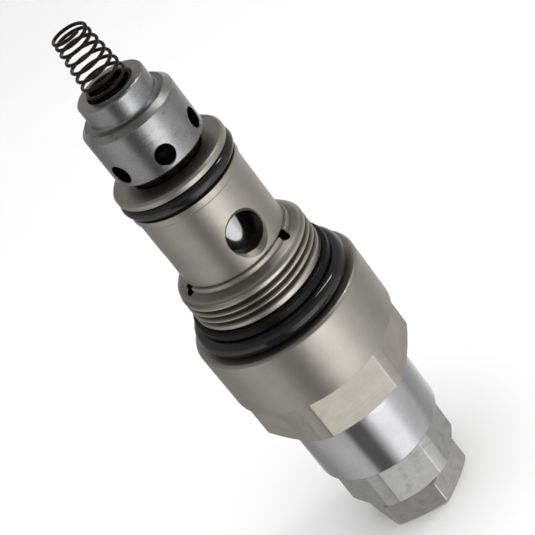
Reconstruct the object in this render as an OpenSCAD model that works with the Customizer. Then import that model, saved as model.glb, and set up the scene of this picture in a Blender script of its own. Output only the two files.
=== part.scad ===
// Pilot-operated cartridge valve for a threaded cavity.
// Z points from the adjuster (tail) to the nose.
// The origin is on the axis, in the plane of the flange face that meets the manifold.

/* [Thread and seat] */
// Major diameter of the cavity thread
thread_d = 27; // [26.6:0.1:27.4]
// Pitch of the cavity thread
thread_pitch = 1.5; // [1.4:0.05:1.6]
// Number of full thread grooves
thread_grooves = 3; // [2:1:3]
// Height of the lowest groove's middle above the flange face
thread_first_z = 7.3; // [7.2:0.1:7.6]
// Height of the thread run-out above the flange face
thread_end_z = 5.75; // [5.6:0.05:5.9]
// Diameter of the seal undercut below the thread
undercut_d = 24.9; // [24.6:0.1:25]
// Height of the rolled lip round the sleeve
lip_z = 14.1; // [13.6:0.05:14.1]
// Outer diameter of the rolled lip
lip_d = 22.7; // [22.4:0.1:23]

/* [Flange and body hexagon] */
// Diameter of the flange
flange_d = 34.8; // [34.4:0.1:36]
// Height of the flange cylinder
flange_h = 13.5; // [12.5:0.1:14]
// Width across the flats of the body hexagon
body_hex_af = 30; // [29:0.5:30.5]
// Turned diameter over the corners of the body hexagon
body_hex_corner_d = 33.4; // [32.6:0.1:33.6]
// Height of the body hexagon
body_hex_h = 10.1; // [9:0.1:11]
// Turn of the body hexagon about the axis
body_hex_turn = 1; // [0:1:59]

/* [Sleeve] */
// Outer diameter of the sleeve
sleeve_d = 21.64; // [21.4:0.02:22]
// Height of the sleeve's front face above the flange face
sleeve_front_z = 35.4; // [35:0.1:36]
// Height of the sleeve's lower edge above the flange face
sleeve_edge_z = 14.15; // [14.1:0.05:14.3]
// Diameter of the front guide land
land_d = 23; // [22.8:0.1:23.2]
// Lower edge of the front guide land
land_low_z = 34.05; // [33.8:0.05:34.2]
// Lower edge of the seal groove
groove_low_z = 30.8; // [30.5:0.05:31]
// Diameter of the second land, below the seal groove
second_land_d = 22.36; // [22.2:0.02:22.6]
// Lower edge of the second land
second_land_low_z = 29.3; // [29:0.1:29.6]
// Diameter of a flow port through the sleeve
port_d = 7.65; // [7:0.05:8]
// Height of the flow ports' axis
port_z = 19.6; // [19.5:0.05:20.5]
// Number of flow ports
port_count = 3; // [2:1:4]
// Turn of the first flow port from the front
port_turn = 17.5; // [0:0.5:60]
// Depth of the countersink at a flow port
port_mouth = 0.97; // [0.3:0.01:1]

/* [Spool] */
// Diameter of the spool's sliding shank
spool_d = 14; // [13.6:0.1:14.2]
// Radial clearance of a sliding fit
slide_gap = 0.03; // [0.02:0.01:0.06]
// Travel of the spool before its head meets the sleeve
spool_travel = 2.1; // [1.8:0.1:2.4]
// Diameter of the spool's head
head_d = 18.36; // [18:0.02:18.8]
// Height of the shoulder of the head
shoulder_z = 48.45; // [48:0.05:49]
// Diameter of the nose in front of the head
nose_d = 13.4; // [13:0.1:14]
// Height of the nose's front face
nose_z = 52.8; // [52:0.1:53.2]
// Diameter of a radial hole in the head
head_hole_d = 3.85; // [3.2:0.05:4]
// Height of the radial holes' axis
head_hole_z = 40.5; // [40.4:0.1:41]
// Number of radial holes
head_hole_count = 6; // [3:1:6]
// Turn of the first radial hole from the front
head_hole_turn = 2.5; // [0:0.5:30]
// Diameter of the spring bore in the nose
nose_bore_d = 9; // [8.9:0.1:9.2]
// Height of the ledge that the nose spring stands on
nose_ledge_z = 46; // [45.6:0.1:46.4]

/* [Springs] */
// Wire diameter of the nose spring
nose_wire_d = 0.65; // [0.5:0.05:0.65]
// Height of the free end of the nose spring
nose_spring_tip_z = 65.25; // [62:0.05:66]
// Mean radius of the nose spring at its base
nose_spring_base_r = 4.13; // [4:0.01:4.15]
// Mean radius of the nose spring at its free end
nose_spring_tip_r = 2.98; // [2.8:0.02:3.4]
// Number of turns of the nose spring
nose_spring_turns = 11.95; // [10:0.05:13]
// Height at which the nose spring starts to narrow
nose_spring_straight_z = 52.3; // [50:0.1:54]
// Direction of the nose spring's tip from the front
nose_spring_tip_turn = 30; // [0:5:355]
// Wire diameter of the main spring
main_wire_d = 1; // [0.8:0.1:1.1]
// Mean radius of the main spring
main_spring_r = 4.3; // [4.2:0.1:4.4]
// Wire diameter of the pilot spring
pilot_wire_d = 1; // [0.8:0.1:1]
// Mean radius of the pilot spring
pilot_spring_r = 2.75; // [2.7:0.05:2.85]

/* [Seals] */
// Section diameter of the sleeve's O-ring
sleeve_seal_d = 2.62; // [2.4:0.02:2.7]
// Section diameter of the flange O-ring
flange_seal_d = 3.5; // [3.2:0.1:3.6]
// Section diameter of the small static O-rings
small_seal_d = 1.5; // [1.4:0.05:1.5]

/* [Spring housing] */
// Diameter of the spring housing
housing_d = 26.2; // [25.8:0.1:26.8]
// Length of the spring housing's cylinder
housing_h = 15.1; // [14.5:0.1:15.5]
// Width across the flats of the housing hexagon
housing_hex_af = 22; // [21.5:0.5:22.5]
// Turned diameter over the corners of the housing hexagon
housing_hex_corner_d = 24; // [23.6:0.1:24.2]
// Height of the housing hexagon
housing_hex_h = 9.6; // [9.2:0.1:10]
// Turn of the housing hexagon about the axis
housing_hex_turn = -2; // [-30:1:30]

/* [Adjuster] */
// Diameter of the adjusting screw's thread
screw_d = 12; // [11.6:0.1:12]
// Width across the flats of the screw's key socket
socket_af = 6; // [5:0.5:6]
// Depth of the key socket
socket_depth = 5.5; // [5:0.5:6]
// Turn of the key socket about the axis
socket_turn = 20; // [0:1:59]
// Depth of the screw's end inside the lock nut
screw_recess = 1.8; // [1.6:0.1:2]
// Width across the flats of the lock nut
nut_af = 19; // [18.5:0.5:19.5]
// Height of the lock nut
nut_h = 6.7; // [6.4:0.1:7]
// Turn of the lock nut about the axis
nut_turn = 11.5; // [0:0.5:59.5]

/* [Hidden] */
$fn = 96;
// Overlap that carries a cut through a face
cut = 1;
// Chamfer that breaks a machined edge
edge = 0.3;
// Gap between parts that rest against each other
rest_gap = 0.02;
// Turns of lesser pitch at the tip of the nose spring, and their pitch
nose_spring_tip_turns = 1.8;
nose_spring_tip_pitch = 1.08;

// Thread, derived from the pitch
thread_r = thread_d / 2;
thread_depth = 0.61 * thread_pitch;
root_half = thread_pitch / 12;
groove_half = root_half + thread_depth * tan(30);
lead_z = thread_first_z + (thread_grooves - 0.5) * thread_pitch + 0.45;

// Head of the body, between thread and lip
cone_foot_r = 12.75;
cone_foot_z = 12.35;
cone_top_r = 11.75;
cone_top_z = 13.1;

// Body cavities
spigot_r = 9.5;
spigot_low_z = 3;
chamber_r = 8.3;
seat_shoulder_z = -12.5;
rear_bore_r = 11.55;
body_end_z = -flange_h - body_hex_h;
drain_hole_d = 2.1;
drain_count = 3;
drain_turn = 45;
drain_top_r = 11.2;
drain_foot_r = 10.35;

// Sleeve seal groove
sleeve_groove_r = 9.08;
sleeve_seal_z = (land_low_z + groove_low_z) / 2;
sleeve_seal_outer_r = 11.72;

// Spool
spool_r = spool_d / 2;
head_low_z = sleeve_front_z + spool_travel;
ring_z = 2.98;
ring_h = 1;
ring_outer_r = 7.95;
ring_groove_r = 6.35;
spool_end_z = 0.4;
spring_pocket_r = 5.3;
spring_pocket_z = 8.5;
spool_bore_r = 3.2;
spool_bore_low_z = 24;
plug_r = 2.6;
plug_low_z = 17.5;
passage_r = 1.2;
spool_port_d = 2.4;
spool_port_z = 26.2;

// Pilot stage
spring_stop_z = -8.5;
seat_rear_z = -17;
seat_hole_r = 1.2;
guide_cup_r = 5.2;
guide_cup_end_z = -22;
collar_r = 3.5;
collar_front_z = -19.2;
collar_rear_z = -22.2;
seat_spigot_r = 8.2;
seat_seal_z = -10.6;

// Spring housing
spigot_gap = 0.1;
housing_spigot_r = rear_bore_r - spigot_gap;
housing_end_z = body_end_z - housing_h - housing_hex_h;
spring_chamber_r = 8;
guide_front_z = -30;
guide_r = 7.05;
thread_bore_z = -40.3;
housing_seal_z = -21.95;
counterbore_r = 10;
counterbore_h = 1.2;

// Grooves of the small static O-rings
small_groove_half = 0.95;
small_groove_depth = 1.5;
seal_proud = 0.08;

// Adjuster
screw_r = screw_d / 2 - 0.05;
seat_front_z = -33.5;
seat_back_z = -38.5;
seat_piston_r = 7;
piston_seal_z = -36.15;
seat_pin_r = 1.9;
shim_h = 0.8;
nut_low_z = housing_end_z - nut_h;
screw_end_z = nut_low_z + screw_recess;
nut_bore_r = 6;
seal_recess_r = 7.6;
seal_recess_h = 1.5;

// Flange seals, on a shallow recess of the flange face
flange_seal_r = undercut_d / 2 + 0.05 + flange_seal_d / 2;
seal_face_r = flange_seal_r + flange_seal_d / 2 + 0.1;
seal_face_depth = 0.1;
flange_seal_z = flange_seal_d / 2 - seal_face_depth + rest_gap;

STEEL = [0.56, 0.57, 0.58];
PLATED = [0.66, 0.64, 0.59];
BRIGHT = [0.76, 0.77, 0.78];
RUBBER = [0.05, 0.05, 0.06];
SPRING = [0.15, 0.12, 0.11];
BRASS = [0.72, 0.6, 0.33];

// A solid or ring turned from points [radius, height]
module turned(points) {
    rotate_extrude() polygon(points);
}

// A ring of round section
module o_ring(centre_r, section_d, z) {
    rotate_extrude() translate([centre_r, z]) circle(d = section_d, $fn = 32);
}

// A ring of rectangular section
module flat_ring(inner_r, outer_r, z_low, z_high) {
    turned([[inner_r, z_low], [outer_r, z_low], [outer_r, z_high], [inner_r, z_high]]);
}

// A ball whose surface passes through the edge of a face of radius face_r at z
// and through the radius corner_r at a height rise towards the direction way
module crown(face_r, corner_r, z, rise, way) {
    reach = (corner_r * corner_r - face_r * face_r + rise * rise) / (2 * rise);
    translate([0, 0, z + way * reach])
        sphere(r = sqrt(face_r * face_r + reach * reach));
}

// A hexagonal prism whose corners are turned to corner_d and whose lower edge is crowned.
// turn is the direction of one flat, measured from -Y towards +X.
module turned_hexagon(af, corner_d, z_low, z_high, turn, bevel) {
    intersection() {
        translate([0, 0, z_low])
            rotate([0, 0, turn])
                cylinder(d = af / cos(30), h = z_high - z_low, $fn = 6);
        translate([0, 0, z_low])
            cylinder(d = corner_d, h = z_high - z_low);
        crown(af / 2 - bevel, corner_d / 2, z_low, 2 * bevel, 1);
    }
}

// A straight hole through the wall from the axis outwards, at an angle from the front
module radial_hole(d, z, turn, reach) {
    rotate([0, 0, turn - 90])
        translate([0, 0, z])
            rotate([0, 90, 0])
                cylinder(d = d, h = reach);
}

// The countersink that breaks the mouth of a radial hole
module hole_mouth(d, z, turn, surface_r, depth) {
    rotate([0, 0, turn - 90])
        translate([surface_r - depth, 0, z])
            rotate([0, 90, 0])
                cylinder(d1 = d, d2 = d + 4 * depth, h = 2 * depth);
}

// Pitch of closed turns, which nearly touch
function closed_pitch(wire) = 1.08 * wire;

// Height of a coil at a number of turns from its base: one closed turn, an even pitch,
// then tip_turns turns of the pitch tip_pitch
function coil_z(t, turns, tip_turns, tip_pitch, wire, z0, z1) =
    let (base_pitch = closed_pitch(wire),
        pitch = (z1 - z0 - base_pitch - tip_turns * tip_pitch) / (turns - 1 - tip_turns))
    t <= 1 ? z0 + t * base_pitch
    : t <= turns - tip_turns ? z0 + base_pitch + (t - 1) * pitch
    : z1 - (turns - t) * tip_pitch;

// A right-hand coil spring of round wire between the heights z0 and z1 of its wire's centre.
// The tip ends at the angle tip_turn from the front; straight_z is where the coil starts to narrow.
module coil_spring(turns, tip_turns, tip_pitch, wire, z0, z1, base_r, tip_r, straight_z, tip_turn) {
    sides = 8;
    steps = 14;
    rings = floor(turns * steps);
    points = [for (i = [0:rings])
        let (t = turns * i / rings,
            z = coil_z(t, turns, tip_turns, tip_pitch, wire, z0, z1),
            narrow = max(0, z - straight_z) / (z1 - straight_z),
            r = base_r + (tip_r - base_r) * narrow,
            angle = tip_turn - 90 - 360 * (turns - t))
        for (j = [0:sides - 1])
            let (around = 360 * j / sides,
                ring_r = r + wire / 2 * cos(around))
            [ring_r * cos(angle), ring_r * sin(angle), z + wire / 2 * sin(around)]];
    walls = [for (i = [0:rings - 1], j = [0:sides - 1])
        let (a = i * sides + j,
            b = i * sides + (j + 1) % sides)
        each [[a, b, a + sides], [b, b + sides, a + sides]]];
    base_cap = [for (j = [sides - 1:-1:0]) j];
    tip_cap = [for (j = [0:sides - 1]) rings * sides + j];
    polyhedron(points = points, faces = concat(walls, [base_cap, tip_cap]), convexity = 10);
}

// Hexagon, flange, thread and the head that carries the sleeve
module valve_body() {
    color(PLATED)
        difference() {
            union() {
                body_outline();
                turned_hexagon(body_hex_af, body_hex_corner_d, body_end_z, -flange_h + cut,
                    body_hex_turn, 0.6);
            }
            body_bores();
            for (i = [0:thread_grooves - 1])
                thread_groove(thread_first_z + i * thread_pitch);
            for (i = [0:drain_count - 1])
                drain_hole(drain_turn + i * 360 / drain_count);
        }
}

module body_outline() {
    turned([[0, -flange_h], [flange_d / 2 - 0.7, -flange_h], [flange_d / 2, -flange_h + 0.5],
        [flange_d / 2, -0.5], [flange_d / 2 - 0.6, 0], [seal_face_r, 0],
        [seal_face_r, -seal_face_depth], [undercut_d / 2, -seal_face_depth],
        [undercut_d / 2, thread_end_z - 0.35], [thread_r, thread_end_z], [thread_r, lead_z],
        [cone_foot_r + 0.1, cone_foot_z - 0.05], [cone_foot_r, cone_foot_z], [cone_top_r, cone_top_z],
        [lip_d / 2 + 0.1, cone_top_z + 0.15], [lip_d / 2, lip_z - 0.2], [lip_d / 2 - 0.2, lip_z],
        [0, lip_z]]);
}

module body_bores() {
    turned([[0, body_end_z - cut], [rear_bore_r + 0.5, body_end_z - cut],
        [rear_bore_r + 0.5, body_end_z], [rear_bore_r, body_end_z + 0.5],
        [rear_bore_r, seat_shoulder_z], [chamber_r, seat_shoulder_z], [chamber_r, spigot_low_z],
        [spigot_r + 0.05, spigot_low_z], [spigot_r + 0.05, lip_z - 0.6],
        [spigot_r + 0.65, lip_z], [spigot_r + 0.65, lip_z + cut], [0, lip_z + cut]]);
}

module thread_groove(z) {
    turned([[thread_r - thread_depth, z - root_half], [thread_r + cut, z - groove_half - cut * tan(30)],
        [thread_r + cut, z + groove_half + cut * tan(30)], [thread_r - thread_depth, z + root_half]]);
}

// A slanted hole from the corner under the sleeve to the shoulder behind the pilot seat
module drain_hole(turn) {
    run = cone_top_z - seat_shoulder_z;
    slant = atan((drain_top_r - drain_foot_r) / run);
    rotate([0, 0, turn - 90])
        translate([drain_foot_r, 0, seat_shoulder_z])
            rotate([0, slant, 0])
                translate([0, 0, -cut])
                    cylinder(d = drain_hole_d, h = run + 3 * cut);
}

// Guide sleeve with the flow ports, held in the head of the body
module sleeve() {
    color(PLATED)
        difference() {
            turned([[spool_r + slide_gap, spigot_low_z], [spigot_r - edge, spigot_low_z],
                [spigot_r, spigot_low_z + edge], [spigot_r, sleeve_edge_z],
                [sleeve_d / 2 - 0.1, sleeve_edge_z], [sleeve_d / 2, sleeve_edge_z + 0.1],
                [sleeve_d / 2, second_land_low_z - 0.1],
                [second_land_d / 2, second_land_low_z + 0.1], [second_land_d / 2, groove_low_z - 0.15],
                [second_land_d / 2 - 0.15, groove_low_z], [sleeve_groove_r, groove_low_z],
                [sleeve_groove_r, land_low_z], [land_d / 2 - 0.1, land_low_z],
                [land_d / 2, land_low_z + 0.1], [land_d / 2, sleeve_front_z - 0.45],
                [land_d / 2 - 0.4, sleeve_front_z], [spool_r + slide_gap + 0.35, sleeve_front_z],
                [spool_r + slide_gap, sleeve_front_z - 0.35]]);
            for (i = [0:port_count - 1]) {
                turn = port_turn + i * 360 / port_count;
                radial_hole(port_d, port_z, turn, sleeve_d);
                hole_mouth(port_d, port_z, turn, sleeve_d / 2, port_mouth);
            }
        }
}

// Sliding spool: nose, drilled head, shank and spring pocket in one piece
module main_spool() {
    head_bevel_h = 0.98;
    nose_fillet = 1.2;
    fillet_r = nose_d / 2 + nose_fillet;
    color(STEEL)
        difference() {
            turned([[0, spool_end_z], [spool_r - edge, spool_end_z], [spool_r, spool_end_z + edge],
                [spool_r, ring_z - ring_h - 0.05], [ring_groove_r, ring_z - ring_h - 0.05],
                [ring_groove_r, ring_z + rest_gap], [spool_r, ring_z + rest_gap], [spool_r, head_low_z],
                [head_d / 2 - 0.35, head_low_z], [head_d / 2, head_low_z + 0.35],
                [head_d / 2, shoulder_z - head_bevel_h], [fillet_r + 0.15, shoulder_z],
                for (a = [0:30:90])
                    [fillet_r - nose_fillet * sin(a), shoulder_z + nose_fillet * (1 - cos(a))],
                [nose_d / 2, nose_z - 0.25], [nose_d / 2 - 0.25, nose_z], [0, nose_z]]);
            turned([[0, plug_low_z], [plug_r, plug_low_z], [plug_r, spool_bore_low_z],
                [spool_bore_r, spool_bore_low_z], [spool_bore_r, nose_ledge_z],
                [nose_bore_d / 2, nose_ledge_z], [nose_bore_d / 2, nose_z - 0.2],
                [nose_bore_d / 2 + 0.2, nose_z], [nose_bore_d / 2 + 0.2, nose_z + cut],
                [0, nose_z + cut]]);
            turned([[0, spool_end_z - cut], [spring_pocket_r, spool_end_z - cut],
                [spring_pocket_r, spring_pocket_z], [passage_r, spring_pocket_z],
                [passage_r, plug_low_z + cut], [0, plug_low_z + cut]]);
            for (i = [0:head_hole_count - 1]) {
                turn = head_hole_turn + i * 360 / head_hole_count;
                radial_hole(head_hole_d, head_hole_z, turn, head_d);
                hole_mouth(head_hole_d, head_hole_z, turn, head_d / 2, 0.2);
                radial_hole(spool_port_d, spool_port_z, turn + 30, head_d);
            }
        }
}

// Throttle screwed into the spool, with a driver slot
module orifice_plug() {
    slot_w = 0.9;
    slot_depth = 1;
    throttle_r = 0.4;
    low_z = plug_low_z + 1.5;
    color(BRASS)
        difference() {
            turned([[throttle_r, low_z], [plug_r - slide_gap, low_z],
                [plug_r - slide_gap, spool_bore_low_z], [throttle_r, spool_bore_low_z]]);
            translate([-plug_r, -slot_w / 2, spool_bore_low_z - slot_depth])
                cube([2 * plug_r, slot_w, slot_depth + cut]);
        }
}

// Split ring that stops the spool against the lower end of the sleeve
module spool_retaining_ring() {
    gap_w = 2.5;
    color(STEEL)
        difference() {
            flat_ring(ring_groove_r + 0.05, ring_outer_r, ring_z - ring_h, ring_z);
            translate([0, -gap_w / 2, ring_z - ring_h - cut])
                cube([ring_outer_r + cut, gap_w, ring_h + 2 * cut]);
        }
}

// Tapered spring that stands in the nose bore
module nose_spring() {
    color(SPRING)
        coil_spring(nose_spring_turns, nose_spring_tip_turns, nose_spring_tip_pitch, nose_wire_d,
            nose_ledge_z + nose_wire_d / 2 + rest_gap, nose_spring_tip_z - nose_wire_d / 2,
            nose_spring_base_r, nose_spring_tip_r, nose_spring_straight_z, nose_spring_tip_turn);
}

// Spring that holds the spool forwards
module main_spring() {
    color(SPRING)
        coil_spring(8, 1, closed_pitch(main_wire_d), main_wire_d,
            spring_stop_z + main_wire_d / 2 + rest_gap, spring_pocket_z - main_wire_d / 2 - rest_gap,
            main_spring_r, main_spring_r, 0, 0);
}

module sleeve_o_ring() {
    color(RUBBER)
        o_ring(sleeve_seal_outer_r - sleeve_seal_d / 2, sleeve_seal_d, sleeve_seal_z);
}

module flange_o_ring() {
    color(RUBBER)
        o_ring(flange_seal_r, flange_seal_d, flange_seal_z);
}

// Hard ring between the flange O-ring and the thread
module flange_backup_ring() {
    low_z = flange_seal_z + flange_seal_d / 2 + 0.1;
    high_z = thread_end_z - 0.4;
    inner_r = undercut_d / 2 + 0.05;
    outer_r = 14.4;
    color(RUBBER)
        turned([[inner_r, low_z], [outer_r - edge, low_z], [outer_r, low_z + edge],
            [outer_r, high_z - edge], [outer_r - edge, high_z], [inner_r, high_z]]);
}

// Seat of the pilot stage, with its drain holes and the cup that guides the poppet
module pilot_seat() {
    flange_r = rear_bore_r - 0.1;
    channel_depth = 1;
    seat_hole_depth = 7;
    jet_r = 0.6;
    drain_circle_r = 9.2;
    drain_d = 1.1;
    cup_hole_d = 2;
    cup_hole_z = seat_rear_z - 1.3;
    color(STEEL)
        difference() {
            turned([[0, spring_stop_z], [0, seat_rear_z], [seat_hole_r, seat_rear_z],
                [collar_r + 0.05, seat_rear_z], [collar_r + 0.05, guide_cup_end_z],
                [guide_cup_r, guide_cup_end_z], [guide_cup_r, seat_rear_z], [flange_r, seat_rear_z],
                [flange_r, seat_shoulder_z], [flange_r - 0.35, seat_shoulder_z],
                [flange_r - 0.35, seat_shoulder_z - channel_depth],
                [chamber_r + 0.4, seat_shoulder_z - channel_depth],
                [chamber_r + 0.4, seat_shoulder_z], [seat_spigot_r, seat_shoulder_z],
                [seat_spigot_r, seat_seal_z - small_groove_half],
                [seat_spigot_r - small_groove_depth, seat_seal_z - small_groove_half],
                [seat_spigot_r - small_groove_depth, seat_seal_z + small_groove_half],
                [seat_spigot_r, seat_seal_z + small_groove_half],
                [seat_spigot_r, spring_stop_z - edge], [seat_spigot_r - edge, spring_stop_z]]);
            translate([0, 0, seat_rear_z - cut])
                cylinder(r = seat_hole_r, h = seat_hole_depth + cut);
            translate([0, 0, seat_rear_z])
                cylinder(r = jet_r, h = spring_stop_z - seat_rear_z + cut);
            for (i = [0:3]) {
                rotate([0, 0, 45 + 90 * i])
                    translate([drain_circle_r, 0, seat_rear_z - cut])
                        cylinder(d = drain_d, h = seat_shoulder_z - seat_rear_z + 2 * cut);
                radial_hole(cup_hole_d, cup_hole_z, 90 * i, guide_cup_r + cut);
            }
        }
}

module pilot_seat_o_ring() {
    color(RUBBER)
        o_ring(seat_spigot_r + seal_proud - small_seal_d / 2, small_seal_d, seat_seal_z);
}

// Cone that opens the pilot stage, with a fluted guide collar and a spring stem
module pilot_poppet() {
    tip_z = seat_rear_z + seat_hole_r - rest_gap;
    shank_r = 2;
    stem_end_z = -25.5;
    flute_count = 3;
    flute_d = 1.8;
    color(STEEL)
        difference() {
            turned([[0, stem_end_z], [seat_pin_r - edge, stem_end_z], [seat_pin_r, stem_end_z + edge],
                [seat_pin_r, collar_rear_z], [collar_r, collar_rear_z], [collar_r, collar_front_z],
                [shank_r, collar_front_z], [shank_r, tip_z - shank_r], [0, tip_z]]);
            for (i = [0:flute_count - 1])
                rotate([0, 0, i * 360 / flute_count])
                    translate([collar_r + 0.2, 0, collar_rear_z - cut])
                        cylinder(d = flute_d, h = collar_front_z - collar_rear_z + 2 * cut);
        }
}

// Spring that sets the opening pressure
module pilot_spring() {
    low_z = seat_front_z + shim_h + pilot_wire_d / 2 + rest_gap;
    high_z = collar_rear_z - pilot_wire_d / 2 - rest_gap;
    color(SPRING)
        coil_spring(6, 1, closed_pitch(pilot_wire_d), pilot_wire_d, low_z, high_z,
            pilot_spring_r, pilot_spring_r, low_z, 0);
}

module pilot_spring_shim() {
    shim_outer_r = 4.6;
    color(STEEL)
        flat_ring(seat_pin_r + 0.1, shim_outer_r, seat_front_z, seat_front_z + shim_h);
}

// Piston that the adjusting screw pushes against the pilot spring
module spring_seat() {
    groove_low = piston_seal_z - small_groove_half;
    groove_high = piston_seal_z + small_groove_half;
    groove_r = 5.52;
    pin_end_z = -31.2;
    color(STEEL)
        turned([[0, seat_back_z], [seat_piston_r - edge, seat_back_z],
            [seat_piston_r, seat_back_z + edge], [seat_piston_r, groove_low], [groove_r, groove_low],
            [groove_r, groove_high], [seat_piston_r, groove_high], [seat_piston_r, seat_front_z - edge],
            [seat_piston_r - edge, seat_front_z], [seat_pin_r, seat_front_z],
            [seat_pin_r, pin_end_z - edge], [seat_pin_r - edge, pin_end_z], [0, pin_end_z]]);
}

module spring_seat_o_ring() {
    section_d = 1.44;
    color(RUBBER)
        o_ring(guide_r - rest_gap - section_d / 2, section_d, piston_seal_z);
}

// Bright housing of the pilot spring, with its own hexagon
module spring_housing() {
    cylinder_end_z = body_end_z - housing_h;
    shoulder_r = housing_hex_corner_d / 2 + 0.05;
    color(BRIGHT)
        difference() {
            union() {
                turned([[0, seat_rear_z], [0, cylinder_end_z], [shoulder_r, cylinder_end_z],
                    [housing_d / 2, cylinder_end_z + 1], [housing_d / 2, body_end_z - 0.2],
                    [housing_d / 2 - 0.2, body_end_z], [housing_spigot_r, body_end_z],
                    [housing_spigot_r, housing_seal_z - small_groove_half],
                    [housing_spigot_r - small_groove_depth, housing_seal_z - small_groove_half],
                    [housing_spigot_r - small_groove_depth, housing_seal_z + small_groove_half],
                    [housing_spigot_r, housing_seal_z + small_groove_half],
                    [housing_spigot_r, seat_rear_z - edge], [housing_spigot_r - edge, seat_rear_z]]);
                turned_hexagon(housing_hex_af, housing_hex_corner_d, housing_end_z,
                    cylinder_end_z + cut / 2, housing_hex_turn, 0.5);
            }
            turned([[0, housing_end_z - cut], [nut_bore_r, housing_end_z - cut],
                [nut_bore_r, thread_bore_z], [guide_r, thread_bore_z], [guide_r, guide_front_z],
                [spring_chamber_r, guide_front_z + 1], [spring_chamber_r, seat_rear_z - counterbore_h],
                [counterbore_r, seat_rear_z - counterbore_h], [counterbore_r, seat_rear_z + cut],
                [0, seat_rear_z + cut]]);
        }
}

module housing_o_ring() {
    color(RUBBER)
        o_ring(housing_spigot_r + seal_proud - small_seal_d / 2, small_seal_d, housing_seal_z);
}

// Screw that sets the pilot spring, with a key socket in its tail end
module adjusting_screw() {
    color(STEEL)
        difference() {
            turned([[0, screw_end_z], [screw_r - 0.8, screw_end_z], [screw_r, screw_end_z + 0.8],
                [screw_r, seat_back_z - 0.8], [screw_r - 0.8, seat_back_z], [0, seat_back_z]]);
            translate([0, 0, screw_end_z - cut])
                rotate([0, 0, socket_turn])
                    cylinder(d = socket_af / cos(30), h = socket_depth + cut, $fn = 6);
        }
}

// Nut that locks the screw against the housing
module lock_nut() {
    corner_r = nut_af / 2 / cos(30);
    face_r = nut_af / 2 - 0.2;
    bevel_h = (corner_r - face_r) * tan(30);
    color(STEEL)
        difference() {
            intersection() {
                translate([0, 0, nut_low_z])
                    rotate([0, 0, nut_turn - 90])
                        cylinder(r = corner_r, h = nut_h, $fn = 6);
                crown(face_r, corner_r, nut_low_z, bevel_h, 1);
                crown(face_r, corner_r, housing_end_z, bevel_h, -1);
            }
            turned([[0, nut_low_z - cut], [nut_bore_r + 0.6, nut_low_z - cut],
                [nut_bore_r + 0.6, nut_low_z], [nut_bore_r, nut_low_z + 0.6],
                [nut_bore_r, housing_end_z - seal_recess_h],
                [seal_recess_r, housing_end_z - seal_recess_h], [seal_recess_r, housing_end_z + cut],
                [0, housing_end_z + cut]]);
        }
}

// Rubber ring in the nut's recess, round the screw
module lock_nut_seal() {
    color(RUBBER)
        flat_ring(nut_bore_r + rest_gap, seal_recess_r - rest_gap,
            housing_end_z - seal_recess_h + edge / 2, housing_end_z - rest_gap);
}

valve_body();
sleeve();
main_spool();
orifice_plug();
spool_retaining_ring();
nose_spring();
main_spring();
sleeve_o_ring();
flange_o_ring();
flange_backup_ring();
pilot_seat();
pilot_seat_o_ring();
pilot_poppet();
pilot_spring();
pilot_spring_shim();
spring_seat();
spring_seat_o_ring();
spring_housing();
housing_o_ring();
adjusting_screw();
lock_nut();
lock_nut_seal();
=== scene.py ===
import math

import bmesh
import bpy
from mathutils import Matrix, Vector


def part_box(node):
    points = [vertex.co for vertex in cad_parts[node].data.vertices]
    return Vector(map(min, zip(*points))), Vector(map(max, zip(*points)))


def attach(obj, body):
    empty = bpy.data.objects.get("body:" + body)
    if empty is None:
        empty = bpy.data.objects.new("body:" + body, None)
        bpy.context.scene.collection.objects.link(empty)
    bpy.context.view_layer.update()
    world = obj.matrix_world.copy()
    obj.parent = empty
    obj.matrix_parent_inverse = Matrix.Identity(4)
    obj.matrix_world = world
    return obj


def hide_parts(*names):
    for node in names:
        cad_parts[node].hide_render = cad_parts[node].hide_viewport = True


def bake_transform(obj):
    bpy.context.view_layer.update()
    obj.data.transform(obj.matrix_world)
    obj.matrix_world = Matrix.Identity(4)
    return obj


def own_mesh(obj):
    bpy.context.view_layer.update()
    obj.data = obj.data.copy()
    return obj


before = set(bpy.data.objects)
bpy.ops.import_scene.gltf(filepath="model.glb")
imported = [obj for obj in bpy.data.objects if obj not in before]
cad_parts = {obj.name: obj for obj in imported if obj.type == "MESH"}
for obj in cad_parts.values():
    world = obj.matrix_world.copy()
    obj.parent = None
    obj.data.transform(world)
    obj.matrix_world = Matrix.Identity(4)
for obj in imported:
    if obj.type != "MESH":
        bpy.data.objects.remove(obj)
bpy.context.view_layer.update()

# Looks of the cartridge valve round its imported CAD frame. Outlines are in millimetres as
# (radius, height) and become metres in polar(). Angles run from the front, -Y, towards +X.
MM = 0.001
SEGMENTS = 240
EDGE = 0.1
MERGE = 1e-6
# Pitch of a closed turn, in wire diameters
CLOSED = 1.08
SHARP = math.radians(18)


def span(node):
    """Radius, lowest and highest z of a CAD node, in millimetres."""
    low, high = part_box(node)
    return high.x / MM, low.z / MM, high.z / MM


# ---------------------------------------------------------------- shared sizes

FLANGE_R, BODY_END, LIP_Z = span("valve_body")
LAND_R, SPIGOT_LOW, SLEEVE_FRONT = span("sleeve")
HEAD_R, SPOOL_END, NOSE_Z = span("main_spool")
HOUSING_R, HOUSING_END = span("spring_housing")[:2]
NUT_LOW, NUT_HIGH = span("lock_nut")[1:]
SCREW_R, SCREW_END, SCREW_FRONT = span("adjusting_screw")

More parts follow.
